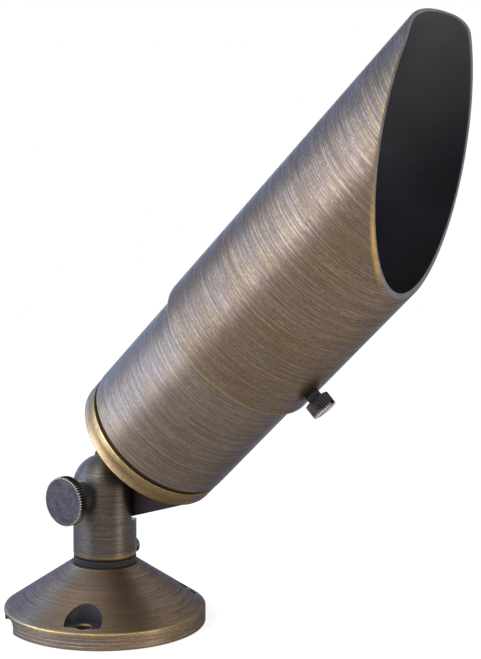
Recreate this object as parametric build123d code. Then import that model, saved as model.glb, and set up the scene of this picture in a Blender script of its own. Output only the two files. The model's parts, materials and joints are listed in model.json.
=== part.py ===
from build123d import *
import math
import os

# A landscape spotlight on a screw-down base: a stem swivels on the base, a half-lap knuckle
# tilts the lamp head, and a slant-cut shroud turns and slides on the head's tube.
# Lengths are in millimetres and angles in degrees. The origin is the middle of the base's
# underside, +Z is up, the tilt axis runs along Y and the head points to +X.

# Clearances
thread_clearance = 0.05
running_clearance = 0.08
plug_clearance = 0.1
cut_overrun = 1.0
blind_hole_extra = 1.0

# Mounting base
base_radius = 38.0
base_rim_height = 6.2
base_top_step = 1.1
base_top_height = 23.0
base_wall = 3.0
base_edge_break = 0.4
hub_depth = 6.5
screw_circle_inset = 4.8
pocket_count = 3
pocket_first_angle = -61.5
pocket_radius = 6.95
pocket_floor_above_rim = 1.45
pocket_wall = 2.0
mount_hole_radius = 2.75
wire_notch_angle = -126.2
wire_notch_width = 20.0
wire_notch_height = 5.0
wire_notch_corner = 2.4
wire_notch_depth = 7.0

# Stem and the ring it turns on
stem_radius = 11.9
stem_height = 24.32
stem_foot_round = 1.2
dome_rise = 2.3
neck_gasket_height = 2.6
neck_gasket_inset = 0.1
spigot_step = 2.4
spigot_below_nut = 1.0
stem_wire_bore = 4.5
knuckle_wire_bore = 2.5
knuckle_wire_offset = 6.5
bore_overlap = 2.0
locknut_wall = 3.5
locknut_height = 4.0
stem_lock_angle = 74.0
stem_lock_above_foot = 1.7
stem_lock_thread_radius = 1.25
stem_lock_head_radius = 2.9
stem_lock_head_height = 2.2
stem_lock_depth = 3.0
stem_lock_standoff = 0.15

# Tilt knuckle
head_elevation = 44.0
lap_offset = 2.0
lap_clearance = 0.4
tilt_down_range = 6.0
knuckle_washer_thickness = 0.8
knuckle_washer_inset = 2.4

# Thumbscrew
thumb_head_radius = 9.2
thumb_head_thickness = 3.8
thumb_knurl_count = 56
thumb_knurl_depth = 0.45
thumb_edge_break = 0.5
thumb_collar_radius = 4.8
thumb_collar_length = 7.22
thumb_thread_radius = 3.0
thumb_thread_cover = 2.9
thumb_seat_depth = 1.3
thumb_washer_thickness = 1.0
thumb_washer_radius = 5.3

# Rear cap of the head, measured along the head's axis from the hinge
ring_rear = 31.7
ring_step = 0.2
ring_width = 6.8
ring_edge_break = 0.6
cap_spigot_length = 8.0
cap_spigot_wall = 3.0
cap_wire_side = -7.0
cap_wire_offset = 7.0
rear_gasket_thickness = 1.8
rear_gasket_recess = 1.2

# Body tube
body_radius = 28.65
body_wall = 3.05
body_length = 80.8
body_edge_break = 0.5

# Front glass, its gasket and its screwed ring
lens_step = 1.0
lens_thickness = 3.2
lens_gasket_thickness = 1.0
lens_gasket_width = 2.0
retainer_thickness = 3.5
retainer_width = 2.8
retainer_recess = 0.8
retainer_notch_width = 2.0
retainer_notch_depth = 1.5

# Lamp, two-pin socket and its bracket
lamp_side_gap = 0.4
lamp_length = 45.0
lamp_gap_to_lens_seat = 2.5
lamp_base_radius = 7.5
lamp_base_length = 9.0
lamp_rim_height = 4.0
lamp_wall = 1.6
lamp_cup_floor = 17.0
lamp_face_thickness = 2.0
lamp_face_recess = 0.4
led_board_radius = 8.0
led_board_thickness = 1.2
led_count = 3
led_radius = 1.6
led_circle_radius = 4.2
pin_radius = 0.75
pin_length = 7.0
pin_spacing = 5.3
pin_hole_extra = 1.0
socket_length = 22.0
socket_width = 13.0
socket_height = 10.0
socket_corner = 2.0
socket_screw_spacing = 16.0
bracket_thickness = 1.2
bracket_width = 12.0
bracket_side_gap = 1.15
bracket_foot = 5.4
bracket_screw_depth = 4.5
screw_thread_radius = 1.5
screw_head_radius = 2.5
screw_head_height = 1.9
grommet_flange_radius = 4.4
grommet_flange_height = 1.4
grommet_bore = 1.6
grommet_plug_length = 3.0

# Slant-cut shroud, its O-ring and its lock screw
shroud_gap = 0.45
shroud_wall = 1.6
shroud_length = 133.9
shroud_overlap = 31.4
mouth_from_rear = 103.2
mouth_angle = 53.3
mouth_corner_radius = 8.5
shroud_edge_break = 0.4
shroud_rest_turn = 6.3
oring_section_radius = 0.85
oring_from_front = 4.0
oring_groove_width = 2.0
lock_from_edge = 10.4
lock_thread_radius = 2.0
lock_neck_radius = 2.6
lock_neck_length = 2.3
lock_head_radius = 4.6
lock_head_length = 5.0
lock_knurl_count = 30
lock_knurl_depth = 0.4
lock_edge_break = 0.4
lock_slot_width = 1.2
lock_slot_depth = 1.2

# Sizes that follow from the ones above
base_top_radius = stem_radius + base_top_step
screw_circle_radius = base_radius - screw_circle_inset
pocket_floor = base_rim_height + pocket_floor_above_rim
neck_gasket_radius = stem_radius - neck_gasket_inset
stem_foot = base_top_height + neck_gasket_height + running_clearance
hinge_height = stem_foot + stem_height
hub_floor = base_top_height - hub_depth
spigot_radius = stem_radius - spigot_step
locknut_width = 2 * (spigot_radius + locknut_wall)
locknut_top = hub_floor - running_clearance
spigot_end = locknut_top - locknut_height - spigot_below_nut
dome_height = hinge_height + dome_rise
lap_radius = stem_radius + lap_clearance
lap_floor = hinge_height - lap_radius
ear_face = lap_offset + knuckle_washer_thickness + running_clearance
knuckle_washer_radius = stem_radius - knuckle_washer_inset
thumb_seat_offset = stem_radius - thumb_seat_depth
thumb_collar_end = -thumb_seat_offset - thumb_washer_thickness - running_clearance
thumb_head_back = thumb_collar_end - thumb_collar_length
thumb_face = thumb_head_back - thumb_head_thickness
thumb_thread_end = stem_radius - thumb_thread_cover
thumb_hole_radius = thumb_thread_radius + running_clearance
ring_radius = body_radius - ring_step
cone_end = ring_rear + ring_edge_break
cone_reach = math.hypot(ring_radius, cone_end)
cone_lean = math.acos(stem_radius / cone_reach) - math.atan2(cone_end, ring_radius)
tilt_stop_lean = math.radians(head_elevation - tilt_down_range) - cone_lean
cap_face = ring_rear + ring_width
body_bore = body_radius - body_wall
body_rear = cap_face + rear_gasket_thickness
body_front = body_rear + body_length
lens_bore = body_bore + lens_step
lens_seat = body_front - retainer_recess - retainer_thickness - lens_thickness - lens_gasket_thickness
lamp_radius = body_bore - lamp_side_gap
lamp_front = lens_seat - lamp_gap_to_lens_seat
lamp_rear = lamp_front - lamp_length
lamp_floor = lamp_rear + lamp_cup_floor
cap_spigot_radius = body_bore - thread_clearance
cap_spigot_bore = cap_spigot_radius - cap_spigot_wall
bracket_span = 2 * (cap_spigot_bore - bracket_side_gap - bracket_foot)
screw_hole_radius = screw_thread_radius + thread_clearance
bracket_screw_seat = cap_face + bracket_thickness
bracket_screw_offset = (bracket_span + bracket_foot) / 2
bracket_hole_end = bracket_screw_seat - bracket_screw_depth - blind_hole_extra
socket_rear = lamp_rear - socket_height
socket_counterbore = lamp_rear - screw_head_height - plug_clearance
shroud_bore = body_radius + shroud_gap
shroud_radius = shroud_bore + shroud_wall
shroud_rear = body_front - shroud_overlap
shroud_end = shroud_rear + shroud_length
mouth_middle = shroud_rear + mouth_from_rear
lock_station = shroud_rear + lock_from_edge
oring_station = body_front - oring_from_front
oring_radius = shroud_bore - plug_clearance - oring_section_radius
oring_groove_radius = oring_radius - oring_section_radius - thread_clearance

# Frames: along the tilt axis, along the head, and along the head as the shroud is turned
hinge_frame = Pos(0, 0, hinge_height) * Rot(-90, 0, 0)
head_frame = Pos(0, 0, hinge_height) * Rot(0, 90 - head_elevation, 0)
shroud_frame = head_frame * Rot(0, 0, shroud_rest_turn)
lock_frame = shroud_frame * Pos(0, 0, lock_station) * Rot(0, 90, 0)
stem_lock_frame = Rot(0, 0, stem_lock_angle) * Pos(0, 0, stem_foot + stem_lock_above_foot) * Rot(0, 90, 0)


def rod(radius, low, high):
    """A round bar along Z from low to high."""
    return Pos(0, 0, low) * Cylinder(radius, high - low, align=(Align.CENTER, Align.CENTER, Align.MIN))


def tube(outer_radius, inner_radius, low, high):
    """A round tube along Z from low to high."""
    overrun = outer_radius
    return rod(outer_radius, low, high) - rod(inner_radius, low - overrun, high + overrun)


def turned(points):
    """A solid of revolution about Z from a closed outline of (radius, height) points."""
    outline = make_face(Polyline(*points, close=True))
    return revolve(Plane.XZ * outline, Axis.Z)


def block(size_x, size_y, low, high):
    """A box centred on Z from low to high."""
    return Pos(0, 0, low) * Box(size_x, size_y, high - low, align=(Align.CENTER, Align.CENTER, Align.MIN))


def knurled(radius, depth, count, low, high, edge_break):
    """A disc along Z with straight V teeth round it and both edges broken."""
    half_tooth = 180.0 / count
    points = []
    for index in range(2 * count):
        reach = radius if index % 2 == 0 else radius - depth
        angle = math.radians(index * half_tooth)
        points.append((reach * math.cos(angle), reach * math.sin(angle)))
    star = extrude(Pos(0, 0, low) * make_face(Polyline(*points, close=True)), amount=high - low)
    bevel = turned([
        (0, low),
        (radius - edge_break, low),
        (radius, low + edge_break),
        (radius, high - edge_break),
        (radius - edge_break, high),
        (0, high),
    ])
    return star & bevel


def pan_screw(head_radius, head_height, thread_radius, depth):
    """A pan-head screw along Z with its head's seat at zero and its thread pointing down."""
    crown = head_height / 2
    head = turned([
        (0, 0),
        (head_radius, 0),
        (head_radius, crown),
        (head_radius - crown, head_height),
        (0, head_height),
    ])
    return head + rod(thread_radius, -depth, 0)


def cone_height(radius):
    """Height of the base's conical outside at a radius."""
    share = (base_radius - radius) / (base_radius - base_top_radius)
    return base_rim_height + (base_top_height - base_rim_height) * share


def mounting_base():
    """A hollow conical base with counterbored screw pockets, a hub and a wire notch."""
    slope = math.atan2(base_top_height - base_rim_height, base_radius - base_top_radius)
    drop = base_wall / math.cos(slope)
    skirt_radius = base_radius - base_wall
    skirt_height = cone_height(skirt_radius) - drop
    roof_radius = skirt_radius - (hub_floor - skirt_height) / math.tan(slope)
    outside = turned([
        (0, 0),
        (base_radius, 0),
        (base_radius, base_rim_height - base_edge_break),
        (base_radius - base_edge_break, cone_height(base_radius - base_edge_break)),
        (base_top_radius, base_top_height),
        (0, base_top_height),
    ])
    hollow = turned([
        (0, -cut_overrun),
        (skirt_radius, -cut_overrun),
        (skirt_radius, skirt_height),
        (roof_radius, hub_floor),
        (0, hub_floor),
    ])
    body = outside - hollow
    for index in range(pocket_count):
        angle = pocket_first_angle + index * 360.0 / pocket_count
        place = Rot(0, 0, angle) * Pos(screw_circle_radius, 0, 0)
        boss = place * rod(pocket_radius + pocket_wall, 0, base_top_height)
        body += boss & outside
        body -= place * rod(pocket_radius, pocket_floor, base_top_height + cut_overrun)
        body -= place * rod(mount_hole_radius, -cut_overrun, pocket_floor + cut_overrun)
    body -= rod(spigot_radius + running_clearance, 0, base_top_height + cut_overrun)
    notch = block(2 * wire_notch_depth, wire_notch_width, -wire_notch_height, wire_notch_height)
    notch = fillet(notch.edges().filter_by(Axis.X), wire_notch_corner)
    body -= Rot(0, 0, wire_notch_angle) * Pos(base_radius, 0, 0) * notch
    return body


def neck_gasket():
    """The dark ring that the stem's foot turns on."""
    bore = spigot_radius + running_clearance
    return tube(neck_gasket_radius, bore, base_top_height, base_top_height + neck_gasket_height)


def knuckle_lap():
    """The cut beside the tilt axis: a flat seat that rises to a stop for the tilting head."""
    reach = 2 * stem_radius
    stop_start = lap_radius * math.tan(tilt_stop_lean / 2)
    stop_rise = (reach - stop_start) * math.tan(tilt_stop_lean)
    outline = Polyline(
        (-reach, lap_floor),
        (stop_start, lap_floor),
        (reach, lap_floor + stop_rise),
        (reach, hinge_height + reach),
        (-reach, hinge_height + reach),
        close=True,
    )
    return Pos(0, lap_offset, 0) * extrude(Plane.XZ * make_face(outline), amount=-reach)


def stem():
    """The lower knuckle: a round stem with a domed top, half cut away beside the tilt axis."""
    post = rod(stem_radius, stem_foot, dome_height)
    post = fillet(post.edges().sort_by(Axis.Z)[0], stem_foot_round)
    post += Pos(0, 0, dome_height) * Sphere(stem_radius)
    post -= knuckle_lap()
    post += rod(spigot_radius, spigot_end, stem_foot + stem_foot_round)
    main_bore_top = lap_floor - stem_wire_bore
    post -= rod(stem_wire_bore, spigot_end - cut_overrun, main_bore_top)
    side_bore = rod(knuckle_wire_bore, main_bore_top - bore_overlap, lap_floor + cut_overrun)
    post -= Pos(0, knuckle_wire_offset, 0) * side_bore
    post -= hinge_frame * rod(thumb_washer_radius + plug_clearance, -2 * stem_radius, -thumb_seat_offset)
    post -= hinge_frame * rod(thumb_hole_radius, -stem_radius, stem_radius)
    lock_hole = stem_lock_thread_radius + thread_clearance
    post -= stem_lock_frame * rod(lock_hole, stem_radius - stem_lock_depth, 2 * stem_radius)
    return post


def stem_locknut():
    """The hexagon nut that holds the stem's spigot under the base's hub."""
    flat = extrude(RegularPolygon(locknut_width / 2, 6, major_radius=False), amount=locknut_height)
    nut = Pos(0, 0, locknut_top - locknut_height) * flat
    bore = rod(spigot_radius + thread_clearance, spigot_end, locknut_top + cut_overrun)
    return nut - bore


def stem_lock_screw():
    """The small pan-head screw at the back of the stem's foot."""
    screw = pan_screw(stem_lock_head_radius, stem_lock_head_height, stem_lock_thread_radius, stem_lock_depth)
    return stem_lock_frame * Pos(0, 0, stem_radius + stem_lock_standoff) * screw


def thumb_screw():
    """The knurled screw that clamps the tilt knuckle."""
    head = knurled(
        thumb_head_radius,
        thumb_knurl_depth,
        thumb_knurl_count,
        thumb_face,
        thumb_head_back,
        thumb_edge_break,
    )
    collar = rod(thumb_collar_radius, thumb_head_back, thumb_collar_end)
    shank = rod(thumb_thread_radius, thumb_collar_end, thumb_thread_end)
    return hinge_frame * (head + collar + shank)


def thumb_washer():
    """The washer under the thumbscrew's collar, in its seat on the stem."""
    outer_face = -thumb_seat_offset - thumb_washer_thickness
    ring = tube(thumb_washer_radius, thumb_hole_radius, outer_face, -thumb_seat_offset)
    return hinge_frame * ring


def knuckle_washer():
    """The friction washer between the two halves of the knuckle."""
    ear_side = lap_offset + knuckle_washer_thickness
    ring = tube(knuckle_washer_radius, thumb_hole_radius, lap_offset, ear_side)
    return hinge_frame * ring


def rear_cap():
    """The head's rear ring with a ball-ended half cone that forms the upper knuckle."""
    start_radius = stem_radius * math.cos(cone_lean)
    start = -stem_radius * math.sin(cone_lean)
    cone = turned([
        (0, start),
        (start_radius, start),
        (ring_radius, cone_end),
        (0, cone_end),
    ])
    knuckle = cone + Sphere(stem_radius)
    beside_align = (Align.CENTER, Align.MAX, Align.CENTER)
    beside = Box(4 * ring_radius, 2 * ring_radius, 4 * ring_rear, align=beside_align)
    knuckle -= Pos(0, ear_face, 0) * beside
    ring = turned([
        (0, ring_rear),
        (ring_radius - ring_edge_break, ring_rear),
        (ring_radius, ring_rear + ring_edge_break),
        (ring_radius, cap_face),
        (0, cap_face),
    ])
    spigot = tube(cap_spigot_radius, cap_spigot_bore, cap_face, cap_face + cap_spigot_length)
    cap = knuckle + ring + spigot
    cap -= Rot(-90, 0, 0) * rod(thumb_hole_radius, 0, thumb_thread_end + blind_hole_extra)
    cap -= Pos(cap_wire_side, cap_wire_offset, 0) * rod(knuckle_wire_bore, -ring_rear, cap_face + cut_overrun)
    for side in (-1, 1):
        hole = rod(screw_hole_radius, bracket_hole_end, cap_face + cut_overrun)
        cap -= Pos(side * bracket_screw_offset, 0, 0) * hole
    return head_frame * cap


def rear_gasket():
    """The dark sealing ring between the rear cap and the body tube."""
    ring = tube(ring_radius - rear_gasket_recess, body_bore + thread_clearance, cap_face, body_rear)
    return head_frame * ring


def body_tube():
    """The straight tube that holds the lamp, with a stepped front for the glass."""
    shell = turned([
        (body_bore, body_rear),
        (body_radius - body_edge_break, body_rear),
        (body_radius, body_rear + body_edge_break),
        (body_radius, body_front - body_edge_break),
        (body_radius - body_edge_break, body_front),
        (lens_bore, body_front),
        (lens_bore, lens_seat),
        (body_bore, lens_seat),
    ])
    half_groove = oring_groove_width / 2
    groove_rear = oring_station - half_groove
    groove_front = oring_station + half_groove
    groove = tube(2 * body_radius, oring_groove_radius, groove_rear, groove_front)
    return head_frame * (shell - groove)


def wire_grommet():
    """The bushing where the lamp's leads enter the rear cap."""
    plug = rod(knuckle_wire_bore - thread_clearance, cap_face - grommet_plug_length, cap_face)
    flange = rod(grommet_flange_radius, cap_face, cap_face + grommet_flange_height)
    bore = rod(grommet_bore, cap_face - 2 * grommet_plug_length, cap_face + 2 * grommet_flange_height)
    return head_frame * Pos(cap_wire_side, cap_wire_offset, 0) * (plug + flange - bore)


def socket_bracket():
    """The bent strip that stands on the rear cap and carries the socket."""
    top = block(bracket_span, bracket_width, socket_rear - bracket_thickness, socket_rear)
    bracket = top
    for side in (-1, 1):
        leg = block(bracket_thickness, bracket_width, cap_face, socket_rear)
        bracket += Pos(side * (bracket_span - bracket_thickness) / 2, 0, 0) * leg
        foot = block(bracket_foot, bracket_width, cap_face, bracket_screw_seat)
        foot_place = Pos(side * bracket_screw_offset, 0, 0)
        bracket += foot_place * foot
        foot_hole = rod(screw_hole_radius, cap_face - cut_overrun, bracket_screw_seat + cut_overrun)
        bracket -= foot_place * foot_hole
        hole = rod(screw_hole_radius, socket_rear - 2 * bracket_thickness, socket_rear + cut_overrun)
        bracket -= Pos(side * socket_screw_spacing / 2, 0, 0) * hole
    return head_frame * bracket


def bracket_screws():
    """The two screws that hold the bracket's feet to the rear cap."""
    screw = pan_screw(screw_head_radius, screw_head_height, screw_thread_radius, bracket_screw_depth)
    pair = []
    for side in (-1, 1):
        pair.append(head_frame * Pos(side * bracket_screw_offset, 0, bracket_screw_seat) * screw)
    return pair


def lamp_socket():
    """The ceramic two-pin socket with countersunk screw wells."""
    body = block(socket_length, socket_width, socket_rear, lamp_rear)
    body = fillet(body.edges().filter_by(Axis.Z), socket_corner)
    for side in (-1, 1):
        pin_hole_end = lamp_rear - pin_length - pin_hole_extra
        pin_hole = rod(pin_radius + plug_clearance, pin_hole_end, lamp_rear + cut_overrun)
        body -= Pos(0, side * pin_spacing / 2, 0) * pin_hole
        screw_place = Pos(side * socket_screw_spacing / 2, 0, 0)
        body -= screw_place * rod(screw_hole_radius, socket_rear - cut_overrun, lamp_rear + cut_overrun)
        well = rod(screw_head_radius + plug_clearance, socket_counterbore, lamp_rear + cut_overrun)
        body -= screw_place * well
    return head_frame * body


def socket_screws():
    """The two screws that hold the socket to its bracket."""
    depth = socket_counterbore - socket_rear + bracket_thickness
    screw = pan_screw(screw_head_radius, screw_head_height, screw_thread_radius, depth)
    pair = []
    for side in (-1, 1):
        pair.append(head_frame * Pos(side * socket_screw_spacing / 2, 0, socket_counterbore) * screw)
    return pair


def lamp_body():
    """The lamp's flared cup with its round base."""
    base_end = lamp_rear + lamp_base_length
    rim_rear = lamp_front - lamp_rim_height
    face_seat = lamp_front - lamp_face_recess - lamp_face_thickness
    mouth = lamp_radius - lamp_wall
    shell = turned([
        (0, lamp_rear),
        (lamp_base_radius, lamp_rear),
        (lamp_base_radius, base_end),
        (led_board_radius + 2 * lamp_wall, lamp_floor - lamp_wall),
        (lamp_radius, rim_rear),
        (lamp_radius, lamp_front),
        (mouth, lamp_front),
        (mouth, face_seat),
        (mouth - lamp_wall, face_seat),
        (led_board_radius + plug_clearance, lamp_floor + led_board_thickness),
        (led_board_radius + plug_clearance, lamp_floor),
        (0, lamp_floor),
    ])
    return head_frame * shell


def lamp_pins():
    """The lamp's two contact pins."""
    pair = []
    for side in (-1, 1):
        pin = rod(pin_radius, lamp_rear - pin_length, lamp_rear)
        pair.append(head_frame * Pos(0, side * pin_spacing / 2, 0) * pin)
    return pair


def led_board():
    """The round board at the bottom of the lamp's cup."""
    return head_frame * rod(led_board_radius, lamp_floor, lamp_floor + led_board_thickness)


def led_emitters():
    """The domed light sources on the board."""
    domes = []
    board_top = lamp_floor + led_board_thickness
    for index in range(led_count):
        dome = Sphere(led_radius) - rod(2 * led_radius, -2 * led_radius, 0)
        place = Rot(0, 0, index * 360.0 / led_count) * Pos(led_circle_radius, 0, board_top)
        domes.append(head_frame * place * dome)
    return domes


def lamp_face():
    """The clear cover in the lamp's rim."""
    face_seat = lamp_front - lamp_face_recess - lamp_face_thickness
    disc = rod(lamp_radius - lamp_wall - plug_clearance, face_seat, face_seat + lamp_face_thickness)
    return head_frame * disc


def lens_gasket():
    """The flat ring between the tube's step and the front glass."""
    outer = lens_bore - plug_clearance
    ring = tube(outer, outer - lens_gasket_width, lens_seat, lens_seat + lens_gasket_thickness)
    return head_frame * ring


def front_lens():
    """The front glass."""
    rear = lens_seat + lens_gasket_thickness
    return head_frame * rod(lens_bore - plug_clearance, rear, rear + lens_thickness)


def lens_retainer():
    """The screwed ring that holds the front glass, with two notches for its key."""
    rear = lens_seat + lens_gasket_thickness + lens_thickness
    front = rear + retainer_thickness
    outer = lens_bore - thread_clearance
    ring = tube(outer, outer - retainer_width, rear, front)
    notch = block(4 * outer, retainer_notch_width, front - retainer_notch_depth, front + cut_overrun)
    return head_frame * (ring - notch)


def shroud_oring():
    """The O-ring in the tube's groove that the shroud rides on."""
    return head_frame * Pos(0, 0, oring_station) * Torus(oring_radius, oring_section_radius)


def shroud():
    """The long glare shroud, cut on a slant with a short square tip and rounded corners."""
    shell = turned([
        (shroud_bore, shroud_rear),
        (shroud_radius - shroud_edge_break, shroud_rear),
        (shroud_radius, shroud_rear + shroud_edge_break),
        (shroud_radius, shroud_end),
        (shroud_bore, shroud_end),
    ])
    reach = 2 * shroud_radius
    fall = math.tan(math.radians(mouth_angle))
    corner_side = (mouth_middle - shroud_end) / fall
    outline = make_face(Polyline(
        (-reach, shroud_rear - cut_overrun),
        (reach, shroud_rear - cut_overrun),
        (reach, mouth_middle - reach * fall),
        (corner_side, shroud_end),
        (-reach, shroud_end),
        close=True,
    ))
    corner = outline.vertices().sort_by_distance(Vector(corner_side, shroud_end, 0))[0]
    outline = fillet(corner, mouth_corner_radius)
    side_view = extrude(Plane.XZ * outline, amount=reach, both=True)
    cut = shell & side_view
    hole = Rot(0, 90, 0) * rod(lock_thread_radius + thread_clearance, 0, reach)
    return shroud_frame * (cut - Pos(0, 0, lock_station) * hole)


def shroud_lock_screw():
    """The knurled, slotted screw that locks the shroud on the tube."""
    tip = body_radius + running_clearance
    neck_start = shroud_radius + running_clearance
    head_start = neck_start + lock_neck_length
    head_end = head_start + lock_head_length
    head = knurled(
        lock_head_radius,
        lock_knurl_depth,
        lock_knurl_count,
        head_start,
        head_end,
        lock_edge_break,
    )
    head -= block(4 * lock_head_radius, lock_slot_width, head_end - lock_slot_depth, head_end + cut_overrun)
    neck = rod(lock_neck_radius, neck_start, head_start)
    thread = rod(lock_thread_radius, tip, neck_start)
    return lock_frame * (head + neck + thread)


nodes = {
    "mounting_base": mounting_base,
    "neck_gasket": neck_gasket,
    "stem": stem,
    "stem_locknut": stem_locknut,
    "stem_lock_screw": stem_lock_screw,
    "thumb_screw": thumb_screw,
    "thumb_washer": thumb_washer,
    "knuckle_washer": knuckle_washer,
    "rear_cap": rear_cap,
    "wire_grommet": wire_grommet,
    "rear_gasket": rear_gasket,
    "body_tube": body_tube,
    "socket_bracket": socket_bracket,
    "bracket_screws": bracket_screws,
    "lamp_socket": lamp_socket,
    "socket_screws": socket_screws,
    "lamp_pins": lamp_pins,
    "lamp_body": lamp_body,
    "led_board": led_board,
    "led_emitters": led_emitters,
    "lamp_face": lamp_face,
    "lens_gasket": lens_gasket,
    "front_lens": front_lens,
    "lens_retainer": lens_retainer,
    "shroud_oring": shroud_oring,
    "shroud": shroud,
    "shroud_lock_screw": shroud_lock_screw,
}

os.makedirs("parts", exist_ok=True)
for node_name, make_node in nodes.items():
    shape = make_node()
    if isinstance(shape, list):
        shape = Compound(children=[item.solid() for item in shape])
    export_step(shape, os.path.join("parts", node_name + ".step"))
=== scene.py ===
import json
import math

import bmesh
import bpy
from mathutils import Matrix, Vector


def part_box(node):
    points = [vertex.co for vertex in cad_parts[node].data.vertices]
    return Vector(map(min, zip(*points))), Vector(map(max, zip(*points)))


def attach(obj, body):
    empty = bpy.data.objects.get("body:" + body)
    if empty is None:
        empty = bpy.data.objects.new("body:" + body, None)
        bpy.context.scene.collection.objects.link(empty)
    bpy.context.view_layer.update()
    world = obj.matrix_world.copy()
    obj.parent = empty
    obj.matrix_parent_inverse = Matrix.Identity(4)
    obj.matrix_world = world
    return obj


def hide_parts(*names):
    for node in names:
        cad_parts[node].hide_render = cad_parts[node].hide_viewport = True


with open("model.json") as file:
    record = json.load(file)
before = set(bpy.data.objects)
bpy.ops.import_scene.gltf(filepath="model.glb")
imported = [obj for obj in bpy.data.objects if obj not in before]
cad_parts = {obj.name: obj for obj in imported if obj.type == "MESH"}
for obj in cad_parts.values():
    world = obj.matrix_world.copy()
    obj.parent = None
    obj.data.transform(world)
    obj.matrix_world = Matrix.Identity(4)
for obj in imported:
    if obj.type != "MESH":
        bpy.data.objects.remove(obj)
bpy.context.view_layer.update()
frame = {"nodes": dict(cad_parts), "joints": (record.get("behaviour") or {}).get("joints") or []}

# Lengths are in metres. Stations run along the head's axis from the tilt hinge.
mm = 0.001

# Meshes: segments of turned pieces and their cutters, steps of rounded edges, what counts as sharp, merged or
# flat, and how far cutters reach past a face
turned_segments = 224
shroud_segments = 360
fine_segments = 96
cutter_segments = 72
hole_segments = 48
bore_segments = 40
arc_step = 0.4 * mm
least_arc_steps = 4
edge_steps = 4
smooth_angle = math.radians(32)
soften_angle = math.radians(42)
soften_steps = 2
merge_distance = 0.002 * mm
flat_distance = 0.0005 * mm
overcut = 1.0 * mm

# Photograph's frame and the camera that matches it
image_width = 481
image_height = 659
camera_azimuth = math.radians(38.333)
camera_elevation = math.radians(8.592)
camera_roll = math.radians(0.341)
camera_distance = 688.5 * mm
camera_target = Vector((39.68, 31.375, 111.534)) * mm
focal_length_pixels = 1859.5
sensor_long_side = 36.0
clip_near = 0.01
clip_far = 100.0

# Mounting base
base_edge_round = 0.5 * mm
base_wall = 3.0 * mm
base_hub_depth = 6.5 * mm
base_skin = 0.3 * mm
rim_skin = 0.4 * mm
rim_height = 6.2 * mm
rim_groove_heights = [1.5 * mm, 2.9 * mm, 4.3 * mm]
rim_groove_width = 0.3 * mm
rim_groove_depth = 0.1 * mm
base_top_radius = 13.0 * mm
screw_circle_radius = 33.2 * mm
pocket_count = 3
pocket_spacing = 360.0 / pocket_count
first_pocket_degrees = -61.5
pocket_angles = [math.radians(first_pocket_degrees + pocket_spacing * turn) for turn in range(pocket_count)]
pocket_radius = 6.95 * mm
pocket_floor = 7.65 * mm
pocket_wall = 2.0 * mm
mount_hole_radius = 2.75 * mm
hole_edge_break = 0.55 * mm
wire_notch_angle = math.radians(-126.2)
wire_notch_width = 20.0 * mm
wire_notch_height = 5.0 * mm
wire_notch_corner = 2.4 * mm
wire_notch_depth = 7.0 * mm
cut_soften = 0.22 * mm

# Stem and seals
stem_foot_round = 1.2 * mm
stem_bore_radius = 4.5 * mm
stem_bore_top = 33.2 * mm
spigot_edge_round = 0.4 * mm
dome_margin = 0.01 * mm
lap_offset = 2.0 * mm
lap_below_ball = 0.4 * mm
wire_bore_radius = 2.5 * mm
wire_bore_offset = 6.5 * mm
wire_bore_overlap = 2.0 * mm
washer_clearance = 0.1 * mm
turning_clearance = 0.08 * mm
neck_ring_round = 0.35 * mm
rear_seal_round = 0.25 * mm

# Thumbscrew and lock screws
thumb_head_thickness = 3.8 * mm
thumb_collar_radius = 4.8 * mm
thumb_collar_cove = 0.5 * mm
thumb_collar_chamfer = 0.3 * mm
thumb_shank_radius = 3.0 * mm
thumb_teeth = 56
thumb_tooth_depth = 0.5 * mm
lock_head_length = 5.0 * mm
lock_neck_radius = 2.6 * mm
lock_thread_radius = 2.0 * mm
lock_hole_clearance = 0.05 * mm
lock_teeth = 30
lock_tooth_depth = 0.42 * mm
lock_slot_width = 1.2 * mm
lock_slot_depth = 1.2 * mm
neck_margin = 0.1 * mm
face_margin = 0.05 * mm
small_slot_width = 0.8 * mm
small_slot_depth = 0.9 * mm
small_thread_radius = 1.25 * mm
small_seat_gap = 0.15 * mm
small_edge_round = 0.2 * mm
small_top_round = 1.1 * mm

# Knurled rims: the insets count edge rounds from the rim to where the flat face and the teeth end
knurl_edge_round = 0.45 * mm
lock_edge_round = 0.8 * knurl_edge_round
knurl_face_inset = 3
knurl_tooth_inset = 1.6
first_toothed_row = 3
tooth_steps = 8
tooth_front_wear = 0.8
tooth_side_wear = 0.05
tooth_back_wear = 0.1

# Head
ear_offset = 2.88 * mm
ring_width = 6.8 * mm
ring_edge_break = 0.6 * mm
ring_edge_round = 0.8 * mm
ring_front_round = 0.25 * mm
cap_wire_place = (-7.0 * mm, 7.0 * mm, 0.0)
cap_spigot_wall = 3.0 * mm
cap_spigot_clearance = 0.05 * mm
body_edge_round = 0.5 * mm
body_skin = 1.2 * mm
lens_clearance = 0.1 * mm
lens_edge_round = 0.2 * mm
shroud_edge_round = 0.45 * mm
shroud_bore_round = 0.2 * mm
shroud_foot_height = 4.0 * mm
mouth_from_rear = 103.2 * mm
mouth_slope = math.tan(math.radians(53.3))
mouth_corner_radius = 8.5 * mm
mouth_edge_round = 0.3 * mm
mouth_face_start = 10.0 * mm
coat_margin = 0.15 * mm

# Worn edges: how bare the edge is, and how far the wear fades beside it
no_wear = (0, 0)
rim_wear = (0.6, 0.25 * mm)
base_top_wear = (0.25, 0.8 * mm)
# The stem foot's bare edge is partly a painted highlight line.
stem_foot_wear_and_highlight = (0.35, 1.5 * mm)
small_top_wear = (0.08, 0.2 * mm)
# The rear ring's rear edge is partly a painted highlight.
ring_rear_wear_and_highlight = (0.8, 3.2 * mm)
ring_front_wear = (0.5, 2.2 * mm)
body_rear_wear = (0.15, 0.4 * mm)
body_front_wear = (0.3, 0.5 * mm)
shroud_rear_wear = (0.5, 0.4 * mm)
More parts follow.
